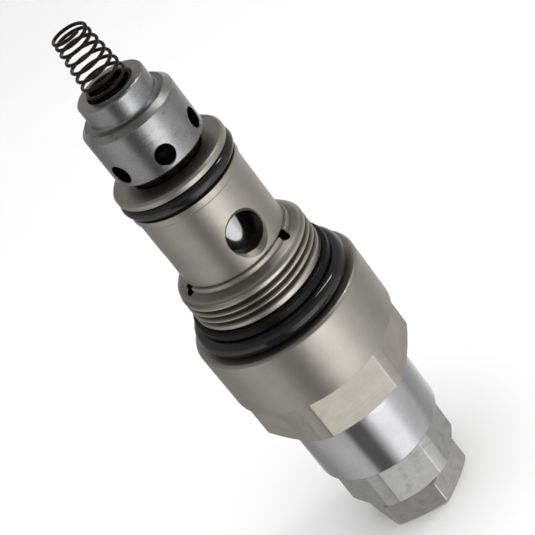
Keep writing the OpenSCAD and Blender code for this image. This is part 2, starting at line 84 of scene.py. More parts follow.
FLANGE_H = 13.5
HEX_AF, HEX_CORNER_R, HEX_TURN = 30, 16.7, 1
THREAD_R, THREAD_PITCH, THREAD_DEPTH = 13.5, 1.5, 0.915
THREAD_FIRST_Z = 7.3
HOUSING_H = 15.1
HOUSING_HEX_AF, HOUSING_HEX_CORNER_R, HOUSING_HEX_TURN = 22, 12, -2
CYLINDER_END = BODY_END - HOUSING_H
NUT_AF, NUT_TURN = 19, 11.5
SPOOL_R = 7.0
REAR_BORE_R = 11.55
SEAT_SHOULDER_Z = -12.5
SEAT_REAR_Z = -17
PORT_D, PORT_Z, PORT_TURN, PORT_COUNT, PORT_MOUTH = 7.65, 19.6, 17.5, 3, 0.97
HEAD_HOLE_D, HEAD_HOLE_Z, HEAD_HOLE_TURN = 3.85, 40.5, 2.5
SPOOL_PORT_D, SPOOL_PORT_Z, SPOOL_PORT_TURN = 2.4, 26.2, 32.5
CONE_TOP_Z = 13.1
SLEEVE_WALL_R = 10.82
NOSE_LEDGE_Z = 46
DRAIN_R, DRAIN_TURN, DRAIN_TOP_R, DRAIN_FOOT_R = 1.05, 45, 11.2, 10.35
DRAIN_STEP = 120
HEAD_HOLES = SPOOL_PORTS = 6
SLEEVE_SEAL_D, FLANGE_SEAL_D = 2.62, 3.5


# ---------------------------------------------------------------- mesh tools

def polar(radius, angle, z):
    """The point in metres at that radius, angle from the front in degrees, and height."""
    a = math.radians(angle)
    return Vector((radius * math.sin(a), -radius * math.cos(a), z)) * MM


def soften(outline, radius=EDGE, closed=True):
    """The outline with each corner rounded; a corner may carry its own radius as a third number."""
    points = []
    for i, corner in enumerate(outline):
        here = Vector(corner[:2])
        rounding = corner[2] if len(corner) > 2 else radius
        at_end = not closed and i in (0, len(outline) - 1)
        if rounding <= 0 or here.x <= 0 or at_end:
            points.append(here)
            continue
        back = Vector(outline[i - 1][:2]) - here
        ahead = Vector(outline[(i + 1) % len(outline)][:2]) - here
        turn = math.pi - back.angle(ahead)
        reach = min(rounding * math.tan(turn / 2), 0.45 * back.length, 0.45 * ahead.length)
        start = here + back.normalized() * reach
        end = here + ahead.normalized() * reach
        steps = max(2, round(math.degrees(turn) / 15))
        for k in range(steps + 1):
            t = k / steps
            points.append(start * (1 - t) ** 2 + here * (2 * t * (1 - t)) + end * t * t)
    return points


def all_round(extra=()):
    """Even angles over a full turn, with extra angles put between them."""
    gap = 0.2
    even = [360 * i / SEGMENTS - 180 for i in range(SEGMENTS)]
    extra = [(a + 180) % 360 - 180 for a in extra]
    kept = [a for a in even if all(abs(a - b) > gap for b in extra)]
    return sorted(kept + extra)


def lay_grid(bm, columns, closed, shift=0):
    """Quads between neighbouring columns of points, and from the last one round to the first."""
    verts = [[bm.verts.new(p) for p in column] for column in columns]
    rows = len(columns[0])
    for j, a in enumerate(verts):
        last = j == len(verts) - 1
        b = verts[0] if last else verts[j + 1]
        up = shift if last else 0
        for k in range(rows if closed else rows - 1):
            k2 = (k + 1) % rows
            if k2 + up < rows:
                bm.faces.new((a[k], b[k + up], b[k2 + up], a[k2]))


def turn_up(bm, outline, angles, radius_at=None, closed=True):
    """Turns an outline about the axis; radius_at(angle, radius, z) may cut flats into it."""
    radius_at = radius_at or (lambda angle, radius, z: radius)
    columns = [[polar(radius_at(a, p.x, p.y), a, p.y) for p in outline] for a in angles]
    lay_grid(bm, columns, closed)


def to_piece(name, bm):
    """A closed mesh object from bm, with its normals outwards and its true edges kept sharp."""
    bmesh.ops.remove_doubles(bm, verts=bm.verts, dist=MERGE)
    bmesh.ops.recalc_face_normals(bm, faces=bm.faces)
    mesh = bpy.data.meshes.new(name)
    bm.to_mesh(mesh)
    bm.free()
    piece = bpy.data.objects.new(name, mesh)
    bpy.context.scene.collection.objects.link(piece)
    shade(piece)
    return piece


def shade(piece):
    piece.data.shade_smooth()
    piece.data.set_sharp_from_angle(angle=SHARP)


def turned_piece(name, outline, angles=None, radius_at=None):
    bm = bmesh.new()
    turn_up(bm, outline, angles or all_round(), radius_at)
    return to_piece(name, bm)


def cut(piece, cutters):
    """Takes each cutter out of the piece and removes the cutters."""
    for cutter in cutters:
        modifier = piece.modifiers.new("cut", "BOOLEAN")
        modifier.object = cutter
        modifier.solver = "EXACT"
    depsgraph = bpy.context.evaluated_depsgraph_get()
    mesh = bpy.data.meshes.new_from_object(piece.evaluated_get(depsgraph))
    piece.modifiers.clear()
    piece.data = mesh
    for cutter in cutters:
        bpy.data.objects.remove(cutter)
    bm = bmesh.new()
    bm.from_mesh(mesh)
    bmesh.ops.remove_doubles(bm, verts=bm.verts, dist=MERGE)
    bm.to_mesh(mesh)
    bm.free()
    shade(piece)


def drills(outline, places, sides=64):
    """One cutter: the outline turned about its own axis, once at each place."""
    bm = bmesh.new()
    angles = [360 * i / sides for i in range(sides)]
    for place in places:
        drill = bmesh.new()
        turn_up(drill, outline, angles)
        drill.transform(place)
        mesh = bpy.data.meshes.new("drill")
        drill.to_mesh(mesh)
        drill.free()
        bm.from_mesh(mesh)
    return to_piece("cutter", bm)


def radial_places(z, first, count):
    """Frames at that height whose Z axis points outwards from the axis."""
    outwards = Matrix.Rotation(math.radians(90), 4, "X")
    return [
        Matrix.Translation((0, 0, z * MM))
        @ Matrix.Rotation(math.radians(first + 360 * i / count), 4, "Z")
        @ outwards
        for i in range(count)
    ]


def radial_drill(diameter, start, surface_r, mouth):
    """Outline of a radial hole from start outwards, with a countersink of depth mouth."""
    r = diameter / 2
    rim = surface_r - mouth
    return soften([(0, start), (r, start), (r, rim, 0.15), (r + 2 * mouth, rim + 2 * mouth, 0),
                   (r + 2 * mouth, surface_r + 3), (0, surface_r + 3)], radius=0)


def six_flats(af, turn, corner_r, top):
    """A radius_at that mills six flats below the height top."""
    def radius_at(angle, radius, z):
        if z > top + 0.001 or radius > corner_r + 0.01:
            return radius
        off = (angle - turn + 30) % 60 - 30
        flat = af / 2 / math.cos(math.radians(off))
        rounding = 0.05
        blend = max(rounding - abs(radius - flat), 0) / rounding
        return min(radius, flat) - blend * blend * rounding / 4
    return radius_at


def flat_angles(af, corner_r, turn):
    """Angles at and beside the edges of six flats."""
    half = math.degrees(math.acos(af / 2 / corner_r))
    beside = (-0.3, 0, 0.3)
    return [turn + 60 * i + side * half + d for i in range(6) for side in (-1, 1) for d in beside]


def between(a, b, steps):
    """Points from a to b, without b."""
    a, b = Vector(a[:2]), Vector(b[:2])
    return [(*a.lerp(b, i / steps), 0) for i in range(steps)]


def paint(piece, materials, choose=None):
    """Gives the piece its materials; choose(centre, normal) gives the number of a face's material."""
    piece.data.materials.clear()
    for m in materials:
        piece.data.materials.append(m)
    for face in piece.data.polygons:
        face.material_index = choose(face.center / MM, face.normal) if choose else 0


def place(piece, body, node, slot):
    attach(piece, body)
    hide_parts(node)
    return piece


# ---------------------------------------------------------------- valve body

def thread_columns(angles, low, high, lead):
    """The threaded wall between two heights: rows that climb one pitch a turn, held at both ends."""
    per_pitch = 24
    step = THREAD_PITCH / per_pitch
    root_half = THREAD_PITCH / 12
    groove_half = root_half + THREAD_DEPTH * math.tan(math.radians(30))
    count = per_pitch * (2 + math.ceil((high - low) / THREAD_PITCH))

    def radius(angle, z):
        climb = THREAD_PITCH * angle / 360
        along = (z - THREAD_FIRST_Z - climb + THREAD_PITCH / 2) % THREAD_PITCH - THREAD_PITCH / 2
        groove_z = z - along
        fade = ease(groove_z, low - 0.1, low + 0.9) * (1 - ease(groove_z, high - 1.1, high - 0.1))
        flank = (groove_half - abs(along)) / (groove_half - root_half)
        groove = THREAD_R - THREAD_DEPTH * fade * max(0, min(1, flank))
        return min(groove, lead(z))

    columns = []
    for angle in angles:
        climb = THREAD_PITCH * (angle + 180) / 360
        heights = [low - THREAD_PITCH + k * step + climb for k in range(count)]
        heights = [min(max(z, low), high) for z in heights]
        columns.append([polar(radius(angle, z), angle, z) for z in heights])
    return columns, per_pitch


def ease(value, low, high):
    """0 below low, 1 above high, smooth between."""
    t = max(0, min(1, (value - low) / (high - low)))
    return t * t * (3 - 2 * t)


def valve_body():
    undercut_r, seal_face_r, seal_face_z = 12.45, 16.1, -0.1
    thread_end_z, thread_low, thread_high = 5.75, 5.9, 12.1
    lead_z, foot = 11.5, (12.85, 12.3)
    cone_top = (11.75, CONE_TOP_Z)
    lip_r = 11.35
    chamber_r, spigot_r = 8.3, 9.55
    bevel_top, bevel_r = BODY_END + 1.2, HEX_AF / 2 - 0.6

    def lead(z):
        return THREAD_R - max(0, z - lead_z) * (THREAD_R - foot[0]) / (foot[1] - lead_z)

    outline = soften([
        (lead(thread_high), thread_high), foot, (*cone_top, 0.15), (lip_r + 0.05, cone_top[1] + 0.1, 0.1),
        (lip_r, LIP_Z, 0.4), (lip_r - 0.5, LIP_Z, 0.05), (spigot_r + 0.6, LIP_Z), (spigot_r, LIP_Z - 0.6),
        (spigot_r, SPIGOT_LOW, 0), (chamber_r, SPIGOT_LOW), (chamber_r, SEAT_SHOULDER_Z),
        (REAR_BORE_R, SEAT_SHOULDER_Z, 0), (REAR_BORE_R, BODY_END + 0.5), (REAR_BORE_R + 0.5, BODY_END),
        *between((bevel_r, BODY_END), (HEX_CORNER_R, bevel_top), 16), (HEX_CORNER_R, bevel_top, 0),
        (HEX_CORNER_R, -FLANGE_H, 0), (FLANGE_R, -FLANGE_H + 0.5),
        (FLANGE_R, -0.45, 0.4), (FLANGE_R - 0.45, 0, 0.3), (seal_face_r, 0, 0.05),
        (seal_face_r, seal_face_z, 0), (undercut_r, seal_face_z, 0.3),
        (undercut_r, thread_end_z - 0.35, 0.2), (THREAD_R, thread_end_z), (THREAD_R, thread_low),
    ], closed=False)
    angles = all_round(flat_angles(HEX_AF, HEX_CORNER_R, HEX_TURN))
    bm = bmesh.new()
    turn_up(bm, outline, angles, six_flats(HEX_AF, HEX_TURN, HEX_CORNER_R, -FLANGE_H), closed=False)
    columns, per_pitch = thread_columns(angles, thread_low, thread_high, lead)
    lay_grid(bm, columns, closed=False, shift=per_pitch)
    body = to_piece("body_shell", bm)

    run = CONE_TOP_Z - SEAT_SHOULDER_Z
    slant = math.atan((DRAIN_TOP_R - DRAIN_FOOT_R) / run)
    hole = [Vector(p) for p in ((0, -1), (DRAIN_R, -1), (DRAIN_R, run + 2), (0, run + 2))]
    places = [
        Matrix.Rotation(math.radians(DRAIN_TURN + DRAIN_STEP * i - 90), 4, "Z")
        @ Matrix.Translation(Vector((DRAIN_FOOT_R, 0, SEAT_SHOULDER_Z)) * MM)
        @ Matrix.Rotation(slant, 4, "Y")
        for i in range(360 // DRAIN_STEP)
    ]
    cut(body, [drills(hole, places, sides=32)])
    return place(body, "body_group", "valve_body", "plated_steel")


# ---------------------------------------------------------------- sleeve and spool

def sleeve():
    wall_r, second_land_r, groove_r = SLEEVE_WALL_R, 11.18, 9.08
    bore_r, spigot_r = SPOOL_R + 0.03, 9.5
    edge_z, second_land_z, groove_z, land_z = 14.15, 29.3, 30.8, 34.05
    outline = soften([
        (bore_r, SPIGOT_LOW), (spigot_r - 0.3, SPIGOT_LOW), (spigot_r, SPIGOT_LOW + 0.3),
        (spigot_r, edge_z, 0), (wall_r - 0.1, edge_z), (wall_r, edge_z + 0.1),
        (wall_r, second_land_z - 0.1, 0.4), (second_land_r, second_land_z + 0.1, 0.3),
        (second_land_r, groove_z), (groove_r, groove_z, 0.2), (groove_r, land_z, 0.2),
        (LAND_R, land_z), (LAND_R, SLEEVE_FRONT - 0.45, 0.2), (LAND_R - 0.4, SLEEVE_FRONT, 0.2),
        (bore_r + 0.35, SLEEVE_FRONT), (bore_r, SLEEVE_FRONT - 0.35),
    ])
    piece = turned_piece("guide_sleeve", outline)
    port = radial_drill(PORT_D, 4.6, wall_r, PORT_MOUTH)
    cut(piece, [drills(port, radial_places(PORT_Z, PORT_TURN, PORT_COUNT), sides=96)])
    return place(piece, "body_group", "sleeve", "plated_steel")


def spool():
    head_low, shoulder_z = SLEEVE_FRONT + 2.1, 48.45
    neck_z = SLEEVE_FRONT - 1
    nose_r, nose_bore_r, ledge_z = 6.7, 4.5, NOSE_LEDGE_Z
    bore_r, plug_r, plug_low, bore_low = 3.2, 2.6, 17.5, 24
    pocket_r, pocket_z, passage_r = 5.3, 8.5, 1.2
    ring_low, ring_high, ring_groove_r = 1.93, 3.0, 6.35
    outline = soften([
        (pocket_r, SPOOL_END), (SPOOL_R - 0.3, SPOOL_END), (SPOOL_R, SPOOL_END + 0.3),
        (SPOOL_R, ring_low, 0.04), (ring_groove_r, ring_low, 0), (ring_groove_r, ring_high, 0),
        (SPOOL_R, ring_high, 0.04), (SPOOL_R, neck_z, 0), (SPOOL_R, head_low, 0.3),
        (HEAD_R - 0.35, head_low),
        (HEAD_R, head_low + 0.35, 0.2), (HEAD_R, shoulder_z - 0.98, 0.15),
        (nose_r + 1.4, shoulder_z + 0.02, 0.12), (nose_r + 1.3, shoulder_z - 0.02, 0.05),
        (nose_r, shoulder_z, 1.2), (nose_r, NOSE_Z - 0.25, 0.15),
        (nose_r - 0.25, NOSE_Z, 0.15), (nose_bore_r + 0.2, NOSE_Z), (nose_bore_r, NOSE_Z - 0.2),
        (nose_bore_r, ledge_z, 0.2), (bore_r, ledge_z), (bore_r, bore_low, 0), (plug_r, bore_low, 0),
        (plug_r, plug_low, 0), (passage_r, plug_low, 0), (passage_r, pocket_z, 0.05),
        (pocket_r, pocket_z, 0.2),
    ])
    piece = turned_piece("spool_body", outline)
    head_drill = radial_drill(HEAD_HOLE_D, 0.5, HEAD_R, 0.2)
    half = HEAD_HOLES // 2
    cutters = [drills(head_drill, radial_places(HEAD_HOLE_Z, HEAD_HOLE_TURN + 60 * i, half))
               for i in range(2)]
    port = radial_drill(SPOOL_PORT_D, 2.6, SPOOL_R, 0.1)
    cutters.append(drills(port, radial_places(SPOOL_PORT_Z, SPOOL_PORT_TURN, SPOOL_PORTS), sides=40))
    cut(piece, cutters)
    return place(piece, "spool_group", "main_spool", "ground_steel")


# ---------------------------------------------------------------- housing, screw and nut

def housing():
    spigot_r = REAR_BORE_R - 0.1
    groove_low, groove_high, groove_r = -22.9, -21, 9.95
    nut_bore_r, thread_bore_z, guide_r, guide_front = 6, -40.3, 7.05, -30
    chamber_r = 8
    bevel_top, bevel_r = HOUSING_END + 1, HOUSING_HEX_AF / 2 - 0.5
    outline = soften([
        (spigot_r - 0.3, SEAT_REAR_Z), (spigot_r, SEAT_REAR_Z - 0.3), (spigot_r, groove_high),
        (groove_r, groove_high, 0.2), (groove_r, groove_low, 0.2), (spigot_r, groove_low),
        (spigot_r, BODY_END, 0), (HOUSING_R - 0.2, BODY_END), (HOUSING_R, BODY_END - 0.2),
        (HOUSING_R, CYLINDER_END + 1, 0.3), (HOUSING_HEX_AF / 2 + 1.05, CYLINDER_END, 0),
        (HOUSING_HEX_CORNER_R, CYLINDER_END, 0), (HOUSING_HEX_CORNER_R, bevel_top, 0),
        *reversed(between((bevel_r, HOUSING_END), (HOUSING_HEX_CORNER_R, bevel_top), 16)),
        (nut_bore_r + 0.3, HOUSING_END, 0.05), (nut_bore_r, HOUSING_END + 0.3, 0.05),
        (nut_bore_r, thread_bore_z), (guide_r, thread_bore_z, 0), (guide_r, guide_front),
        (chamber_r, guide_front + 1), (chamber_r, SEAT_REAR_Z - 1.2, 0),
        (chamber_r + 2, SEAT_REAR_Z - 1.2, 0), (chamber_r + 2, SEAT_REAR_Z),
    ], radius=0.08)
    angles = all_round(flat_angles(HOUSING_HEX_AF, HOUSING_HEX_CORNER_R, HOUSING_HEX_TURN))
    flats = six_flats(HOUSING_HEX_AF, HOUSING_HEX_TURN, HOUSING_HEX_CORNER_R, CYLINDER_END)

    def radius_at(angle, radius, z):
        outside = radius > HOUSING_HEX_AF / 2 - 1
        return flats(angle, radius, z) if outside else radius

    piece = turned_piece("housing_shell", outline, angles, radius_at)
    return place(piece, "body_group", "spring_housing", "bright_steel")


def lock_nut():
    corner_r = NUT_AF / 2 / math.cos(math.radians(30))
    face_r, bore_r, recess_r = NUT_AF / 2 - 0.2, 6, 7.6
    bevel = (corner_r - face_r) * math.tan(math.radians(30))
    outline = soften([
        (bore_r + 0.6, NUT_LOW), *between((face_r, NUT_LOW), (corner_r, NUT_LOW + bevel), 12),
        (corner_r, NUT_LOW + bevel, 0), (corner_r, NUT_HIGH - bevel, 0),
        *reversed(between((face_r, NUT_HIGH), (corner_r, NUT_HIGH - bevel), 12)),
        (recess_r, NUT_HIGH), (recess_r, NUT_HIGH - 1.5, 0), (bore_r, NUT_HIGH - 1.5),
        (bore_r, NUT_LOW + 0.6),
    ], radius=0.06)
    corners = [NUT_TURN + 60 * i + d for i in range(6) for d in (-1.2, -0.6, 0, 0.6, 1.2)]
    broken_corner = corner_r - 0.08
    flats = six_flats(NUT_AF, NUT_TURN + 30, corner_r, NUT_HIGH)

    def radius_at(angle, radius, z):
        outside = radius > face_r - 0.5
        return min(flats(angle, radius, z), broken_corner) if outside else radius

    piece = turned_piece("nut_shell", outline, all_round(corners), radius_at)
    return place(piece, "lock_nut_group", "lock_nut", "nut_steel")


def adjusting_screw():
    """Screw with a hexagonal key socket in its tail."""
    chamfer = 0.8
    socket_r, socket_depth, socket_turn = 3 / math.cos(math.radians(30)), 5.5, 20
    outline = soften([(0, SCREW_END), (SCREW_R - chamfer, SCREW_END), (SCREW_R, SCREW_END + chamfer),
                      (SCREW_R, SCREW_FRONT - chamfer), (SCREW_R - chamfer, SCREW_FRONT),
                      (0, SCREW_FRONT)])
    piece = turned_piece("screw_body", outline)
    bm = bmesh.new()
    columns = [[polar(r, socket_turn - 90 + 60 * i, z) for r, z in (
        (0, SCREW_END - 1), (socket_r, SCREW_END - 1), (socket_r, SCREW_END + socket_depth),
        (0, SCREW_END + socket_depth + 1))] for i in range(6)]
    lay_grid(bm, columns, closed=True)
    cut(piece, [to_piece("cutter", bm)])
    return place(piece, "adjusting_screw_group", "adjusting_screw", "screw_steel")


# ---------------------------------------------------------------- springs and seals

def coil(name, turns, tip_turns, tip_pitch, wire, z0, z1, base_r, tip_r, straight_z, tip_turn):
    """A right-hand coil between the heights z0 and z1 of its wire's centre: one closed turn,
    an even pitch, then tip_turns turns of the pitch tip_pitch."""
    sides, per_turn = 16, 60
    base_pitch = CLOSED * wire
    pitch = (z1 - z0 - base_pitch - tip_turns * tip_pitch) / (turns - 1 - tip_turns)
    steps = round(turns * per_turn)
    bm = bmesh.new()
    rings = []
    for i in range(steps + 1):
        t = turns * i / steps
        if t <= 1:
            z = z0 + t * base_pitch
        elif t <= turns - tip_turns:
            z = z0 + base_pitch + (t - 1) * pitch
        else:
            z = z1 - (turns - t) * tip_pitch
        narrow = max(0, z - straight_z) / (z1 - straight_z)
        radius = base_r + (tip_r - base_r) * narrow
        angle = tip_turn - 360 * (turns - t)
        wire_r = wire / 2 * (0.8 if i in (0, steps) else 1)
        ring = []
        for k in range(sides):
            a = math.tau * k / sides
            ring.append(bm.verts.new(polar(radius + wire_r * math.cos(a), angle, z + wire_r * math.sin(a))))
        rings.append(ring)
    for low, high in zip(rings, rings[1:]):
        for k in range(sides):
            bm.faces.new((low[k], low[(k + 1) % sides], high[(k + 1) % sides], high[k]))
    bm.faces.new(rings[0])
    bm.faces.new(rings[-1])
    return to_piece(name, bm)


def springs():
    nose_wire, ledge_z, tip_z = 0.65, NOSE_LEDGE_Z, span("nose_spring")[2]
    clearance = 0.02
    nose = coil("nose_coil", turns=11.95, tip_turns=1.8, tip_pitch=1.08, wire=nose_wire,
                z0=ledge_z + nose_wire / 2 + clearance, z1=tip_z - nose_wire / 2,
                base_r=4.13, tip_r=2.98, straight_z=52.3, tip_turn=30)
    place(nose, "nose_spring_group", "nose_spring", "spring_wire")
    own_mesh(nose)

    wire = 1.0
    closed = {"tip_turns": 1, "tip_pitch": CLOSED * wire, "wire": wire, "tip_turn": 0}
    main_low, main_high = span("main_spring")[1:]
    main = coil("main_coil", turns=8, z0=main_low + wire / 2, z1=main_high - wire / 2,
                base_r=4.3, tip_r=4.3, straight_z=main_low, **closed)
    place(main, "body_group", "main_spring", "spring_wire")
    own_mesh(main)

    pilot_low, pilot_high = span("pilot_spring")[1:]
    pilot = coil("pilot_coil", turns=6, z0=pilot_low + wire / 2, z1=pilot_high - wire / 2,
                 base_r=2.75, tip_r=2.75, straight_z=pilot_low, **closed)
    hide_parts("pilot_spring")
    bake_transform(pilot)
    return nose, main, pilot


def o_ring(name, node, section_d):
    """A rubber ring with the fine line that its mould leaves round the outside."""
    outer_r, low, high = span(node)
    ridge, ridge_width = 0.03, 0.12
    centre_r, centre_z, r = outer_r - section_d / 2, (low + high) / 2, section_d / 2
    outline = []
    for k in range(64):
        a = math.tau * k / 64
        off = r * math.sin(a)
        lift = ridge * math.exp(-((off / ridge_width) ** 2)) if math.cos(a) > 0 else 0
        outline.append(Vector((centre_r + (r - ridge + lift) * math.cos(a), centre_z + off)))
    return place(turned_piece(name, outline), "body_group", node, "black_rubber")


def backup_ring():
    outer_r, low, high = span("flange_backup_ring")
    inner_r = 12.5
    outline = soften([(inner_r, low), (outer_r - 0.3, low), (outer_r, low + 0.3),
                      (outer_r, high - 0.3, 0.3), (outer_r - 0.3, high, 0.3), (inner_r, high)])
    piece = turned_piece("backup_ring_body", outline)
    return place(piece, "body_group", "flange_backup_ring", "black_plastic")


# ---------------------------------------------------------------- node tools

class Graph:
    """Lays the nodes of one material or world."""

    def __init__(self, tree):
        self.tree = tree
        tree.nodes.clear()

    def node(self, kind, inputs=None, **settings):
        made = self.tree.nodes.new(kind)
        for key, value in settings.items():
            setattr(made, key, value)
        for key, value in (inputs or {}).items():
            self.put(made.inputs[key], value)
        return made

    def put(self, socket, value):
        if isinstance(value, bpy.types.NodeSocket):
            self.tree.links.new(value, socket)
        else:
            socket.default_value = value

    def math(self, operation, *values):
        made = self.node("ShaderNodeMath", operation=operation)
        for socket, value in zip(made.inputs, values):
            self.put(socket, value)
        return made.outputs[0]

    def split(self, vector):
        return self.node("ShaderNodeSeparateXYZ", {0: vector}).outputs

    def scaled(self, vector, x, y, z):
        made = self.node("ShaderNodeVectorMath", {0: vector, 1: (x, y, z)}, operation="MULTIPLY")
        return made.outputs[0]

    def rise(self, value, low, high, to_low=0.0, to_high=1.0):
        """to_low below low and to_high above high, with a smooth step between."""
        made = self.node("ShaderNodeMapRange", interpolation_type="SMOOTHSTEP")
        for socket, number in zip(made.inputs, (value, low, high, to_low, to_high)):
            self.put(socket, number)
        return made.outputs[0]

    def band(self, value, low, high, soft):
        """1 between low and high, 0 outside, with soft edges."""
        up = self.rise(value, low - soft, low + soft)
        down = self.rise(value, high - soft, high + soft, 1.0, 0.0)
        return self.math("MULTIPLY", up, down)

    def noise(self, vector, scale=1.0, detail=3.0, roughness=0.55):
        made = self.node("ShaderNodeTexNoise", {"Vector": vector, "Scale": scale, "Detail": detail,
                                                "Roughness": roughness})
        return made.outputs[0]

    def mix(self, factor, a, b):
        made = self.node("ShaderNodeMix", {0: factor, 6: a, 7: b}, data_type="RGBA")
        return made.outputs[2]

    def bump(self, height, distance, strength=1.0, normal=None):
        made = self.node("ShaderNodeBump", {"Height": height, "Distance": distance,
                                            "Strength": strength})
        if normal is not None:
            self.put(made.inputs["Normal"], normal)
        return made.outputs[0]


def grey(value):
    return (value, value, value, 1)


def new_material(name):
    material = bpy.data.materials.new(name)
    material.use_nodes = True
    graph = Graph(material.node_tree)
    place_mm = graph.scaled(graph.node("ShaderNodeTexCoord").outputs["Object"], *(1 / MM,) * 3)
    return material, graph, place_mm


def close_material(graph, inputs):
    shader = graph.node("ShaderNodeBsdfPrincipled", inputs)
    graph.node("ShaderNodeOutputMaterial", {"Surface": shader.outputs[0]})


def around_tangent(graph):
    return graph.node("ShaderNodeTangent", direction_type="RADIAL", axis="Z").outputs[0]


# ---------------------------------------------------------------- metals

def turned_metal(name, pale, dark, roughness, lines, stretch=0.5, stain=0.0, thread_painted_light=False):
    """Metal from the lathe: fine lines round the axis, soft blotches, and a stretched gloss."""
    material, g, at = new_material(name)
    cloud = g.noise(at, 0.22, 3)
    speckle = g.noise(at, 5, 4, 0.7)
    rings = g.noise(g.scaled(at, 0.25, 0.25, 14), 1, 3, 0.7)
    tone = g.math("ADD", g.math("MULTIPLY", speckle, 0.45), g.math("MULTIPLY", rings, 0.25))
    tone = g.math("ADD", tone, g.math("MULTIPLY", cloud, 0.3))
    colour = g.mix(g.rise(tone, 0.38, 0.62), dark, pale)
    if stain:
        spots = g.rise(g.noise(g.scaled(at, 0.5, 0.5, 0.7), 1, 5), 0.58, 0.74)
        colour = g.mix(g.math("MULTIPLY", spots, stain), colour, (0.17, 0.14, 0.1, 1))
    # Painted light on the thread: paler crests as painted highlight, darker valleys and cone face as
    # painted shade.
    if thread_painted_light:
        z = g.split(at)[2]
        flat = g.node("ShaderNodeVectorMath", {0: g.scaled(at, 1, 1, 0)}, operation="LENGTH")
        radius = flat.outputs["Value"]
        zone = g.band(z, 5.0, 12.0, 0.2)
        # Painted highlight: the thread crests get a paler colour.
        crest = g.rise(radius, THREAD_R - 0.12, THREAD_R - 0.02)
        colour = g.mix(g.math("MULTIPLY", crest, zone), colour, (0.74, 0.71, 0.64, 1))
        # Painted shade: the thread valleys are darkened towards their root.
        deep = g.rise(radius, THREAD_R - 0.5, THREAD_R - 0.1, 1.0, 0.0)
        valley_shade = g.math("MULTIPLY", g.math("MULTIPLY", deep, zone), 0.85)
        colour = g.mix(valley_shade, colour, (0.1, 0.085, 0.055, 1))
        # Painted shade: the cone face above the thread is darkened, unevenly by the cloud noise.
        cone = g.math("MULTIPLY", g.band(z, 12.4, 13.4, 0.3), g.rise(cloud, 0.2, 0.7, 0.35, 0.6))
        colour = g.mix(cone, colour, (0.16, 0.14, 0.115, 1))
    rough = g.rise(speckle, 0.3, 0.7, roughness * 0.9, roughness * 1.12)
    fine = g.bump(speckle, 0.004 * MM, 0.6)
    normal = g.bump(rings, lines * MM, 0.8, fine)
    close_material(g, {"Base Color": colour, "Metallic": 1.0, "Roughness": rough, "Normal": normal,
                       "Anisotropic": stretch, "Anisotropic Rotation": 0.25,
                       "Tangent": around_tangent(g)})
    return material


def milled_metal(name, pale, dark, roughness, marks=0.02, stain=0.0):
    """Flats from the milling cutter: fine marks across the flat, slightly uneven."""
    material, g, at = new_material(name)
    cloud = g.noise(at, 0.3, 4)
    strokes = g.noise(g.scaled(at, 0.35, 0.35, 7), 1, 3, 0.6)
    fine = g.noise(g.scaled(at, 1.2, 1.2, 26), 1, 2, 0.6)
    tone = g.math("ADD", g.math("MULTIPLY", cloud, 0.5), g.math("MULTIPLY", strokes, 0.5))
    colour = g.mix(g.rise(tone, 0.36, 0.64), dark, pale)
    if stain:
        spots = g.rise(g.noise(at, 0.3, 5, 0.6), 0.5, 0.7)
        specks = g.rise(g.noise(at, 1.6, 5, 0.6), 0.6, 0.74)
        worn = g.math("ADD", g.math("MULTIPLY", spots, 0.7), g.math("MULTIPLY", specks, 0.5))
        colour = g.mix(g.math("MULTIPLY", worn, stain), colour, (0.21, 0.165, 0.1, 1))
    rough = g.rise(cloud, 0.3, 0.7, roughness * 0.9, roughness * 1.1)
    height = g.math("ADD", strokes, g.math("MULTIPLY", fine, 0.5))
    normal = g.bump(height, marks * MM, 0.8)
    close_material(g, {"Base Color": colour, "Metallic": 1.0, "Roughness": rough, "Normal": normal})
    return material


def recess_shade_metal():
    """Painted shade for the walls of holes, bores and other recesses: nearly black, with faint tool rings.
    """
    material, g, at = new_material("recess_painted_shade")
    cloud = g.noise(at, 0.9, 4)
    # Painted shade: a near-black colour stands in for the shade inside holes and bores.
    colour = g.mix(g.rise(cloud, 0.35, 0.7), (0.012, 0.011, 0.010, 1), (0.045, 0.04, 0.034, 1))
    rough = g.rise(cloud, 0.3, 0.7, 0.35, 0.5)
    normal = g.bump(g.noise(g.scaled(at, 1, 1, 6), 1, 3), 0.02 * MM, 0.6)
    close_material(g, {"Base Color": colour, "Metallic": 1.0, "Roughness": rough, "Normal": normal})
    return material


def wire_metal():
    """Dark phosphated spring wire with rubbed, rusty-brown high spots."""
    material, g, at = new_material("spring_wire_dark")
    cloud = g.noise(at, 1.5, 4)
    colour = g.mix(g.rise(cloud, 0.45, 0.75), (0.016, 0.013, 0.012, 1), (0.06, 0.036, 0.026, 1))
    rough = g.rise(cloud, 0.3, 0.7, 0.22, 0.38)
    normal = g.bump(g.noise(at, 9, 3), 0.01 * MM, 0.6)
    close_material(g, {"Base Color": colour, "Metallic": 0.6, "Roughness": rough, "Normal": normal,
                       "Specular IOR Level": 0.35})
    return material


def brass():
    material, g, at = new_material("brass_throttle")
    cloud = g.noise(at, 0.8, 3)
    colour = g.mix(cloud, (0.62, 0.44, 0.18, 1), (0.8, 0.62, 0.3, 1))
    rough = g.rise(cloud, 0.3, 0.7, 0.25, 0.4)
    normal = g.bump(g.noise(g.scaled(at, 1, 1, 12), 1, 2), 0.01 * MM, 0.5)
    close_material(g, {"Base Color": colour, "Metallic": 1.0, "Roughness": rough, "Normal": normal})
    return material


# ---------------------------------------------------------------- rubber and plastic

